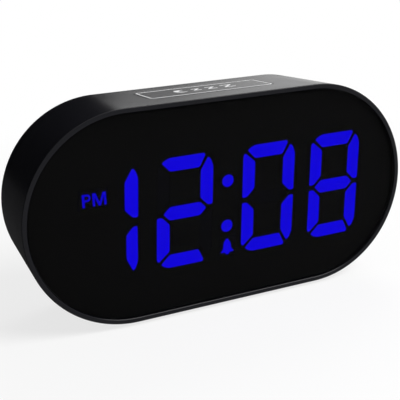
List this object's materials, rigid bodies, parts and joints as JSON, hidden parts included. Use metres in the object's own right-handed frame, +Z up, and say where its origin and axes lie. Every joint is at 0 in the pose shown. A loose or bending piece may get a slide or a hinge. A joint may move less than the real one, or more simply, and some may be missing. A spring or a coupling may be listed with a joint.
{
  "type": "alarm clock",
  "caption": "Oval bedside alarm clock: drafted black sleeve, flush smoked window with blue slanted LED figures, snooze key on top, set buttons and battery bay behind.",
  "frame": {"origin": "under the middle of the case, on the surface that the feet stand on", "axes": "+X to the right seen from the front, -Y out of the window, +Z up"},
  "size_m": [0.1348, 0.0344, 0.0702],
  "materials": {
    "shell": "satin black moulding",
    "back_shell": "fine-grained black moulding",
    "window": "polished smoked acrylic",
    "mask": "matt black film",
    "light_guide": "dark tinted diffuser",
    "white_plastic": "white moulding",
    "circuit_board": "green solder mask",
    "black_parts": "black moulded component",
    "tin": "tinned sheet",
    "steel": "zinc-plated steel",
    "key": "satin black moulding",
    "control": "satin dark grey moulding",
    "rubber": "matt black rubber",
    "cell": "printed steel can",
    "cable": "grey flexible insulation",
    "display_light": "blue lit segment",
    "print": "light grey pad print"
  },
  "bodies": {
    "case": {"housing_sleeve": "shell", "front_window": "window", "segment_mask": "mask", "light_guide": "light_guide", "led_reflector": "white_plastic", "display_board": "circuit_board", "snooze_board": "circuit_board", "snooze_switch": "black_parts", "rear_cover": "back_shell", "main_board": "circuit_board", "clock_chip": "black_parts", "quartz_crystal": "tin", "capacitor_1": "black_parts", "capacitor_2": "black_parts", "dimmer_potentiometer": "tin", "dc_jack": "black_parts", "speaker": "black_parts", "ribbon_cable": "cable", "speaker_lead": "cable", "battery_lead": "cable", "snooze_lead": "cable", "battery_contact_link": "tin", "battery_contact_upper": "tin", "battery_contact_lower": "tin", "battery_cell_1": "cell", "battery_cell_2": "cell", "display_board_screw_1": "steel", "rear_cover_screw_1": "steel", "main_board_screw_1": "steel", "display_board_screw_2": "steel", "rear_cover_screw_2": "steel", "main_board_screw_2": "steel", "display_board_screw_3": "steel", "rear_cover_screw_3": "steel", "main_board_screw_3": "steel", "display_board_screw_4": "steel", "rear_cover_screw_4": "steel", "main_board_screw_4": "steel", "snooze_board_screw_1": "steel", "snooze_board_screw_2": "steel", "foot_front_left": "rubber", "foot_rear_left": "rubber", "foot_front_right": "rubber", "foot_rear_right": "rubber", "time_switch": "black_parts", "alarm_switch": "black_parts", "hour_switch": "black_parts", "minute_switch": "black_parts", "alarm_slide_switch": "tin", "volume_slide_switch": "tin"},
    "snooze_key": {"snooze_key": "key"},
    "time_button": {"time_button": "control"},
    "alarm_button": {"alarm_button": "control"},
    "hour_button": {"hour_button": "control"},
    "minute_button": {"minute_button": "control"},
    "alarm_slider": {"alarm_slider": "control"},
    "volume_slider": {"volume_slider": "control"},
    "dimmer_wheel": {"dimmer_wheel": "control"},
    "battery_door": {"battery_door": "back_shell"}
  },
  "joints": [
    {"name": "snooze_press", "type": "slide", "parent": "case", "child": "snooze_key", "axis": [0, 0, -1], "range_m": [0, 0.0008], "stiffness_N_per_m": 1500, "springref_m": -0.0004},
    {"name": "time_button_press", "type": "slide", "parent": "case", "child": "time_button", "axis": [0, -1, 0], "range_m": [0, 0.0005], "stiffness_N_per_m": 2000, "springref_m": -0.0003},
    {"name": "alarm_button_press", "type": "slide", "parent": "case", "child": "alarm_button", "axis": [0, -1, 0], "range_m": [0, 0.0005], "stiffness_N_per_m": 2000, "springref_m": -0.0003},
    {"name": "hour_button_press", "type": "slide", "parent": "case", "child": "hour_button", "axis": [0, -1, 0], "range_m": [0, 0.0005], "stiffness_N_per_m": 2000, "springref_m": -0.0003},
    {"name": "minute_button_press", "type": "slide", "parent": "case", "child": "minute_button", "axis": [0, -1, 0], "range_m": [0, 0.0005], "stiffness_N_per_m": 2000, "springref_m": -0.0003},
    {"name": "alarm_slider_slide", "type": "slide", "parent": "case", "child": "alarm_slider", "axis": [1, 0, 0], "range_m": [0, 0.0025]},
    {"name": "volume_slider_slide", "type": "slide", "parent": "case", "child": "volume_slider", "axis": [1, 0, 0], "range_m": [0, 0.0025]},
    {"name": "dimmer_turn", "type": "hinge", "parent": "case", "child": "dimmer_wheel", "pos_m": [0.04368, 0.01135, 0.05025], "axis": [0, 0, 1], "range_deg": [-135, 135]},
    {"name": "battery_door_hinge", "type": "hinge", "parent": "case", "child": "battery_door", "pos_m": [0, 0.01565, 0.00785], "axis": [-1, 0, 0], "range_deg": [0, 70]}
  ]
}
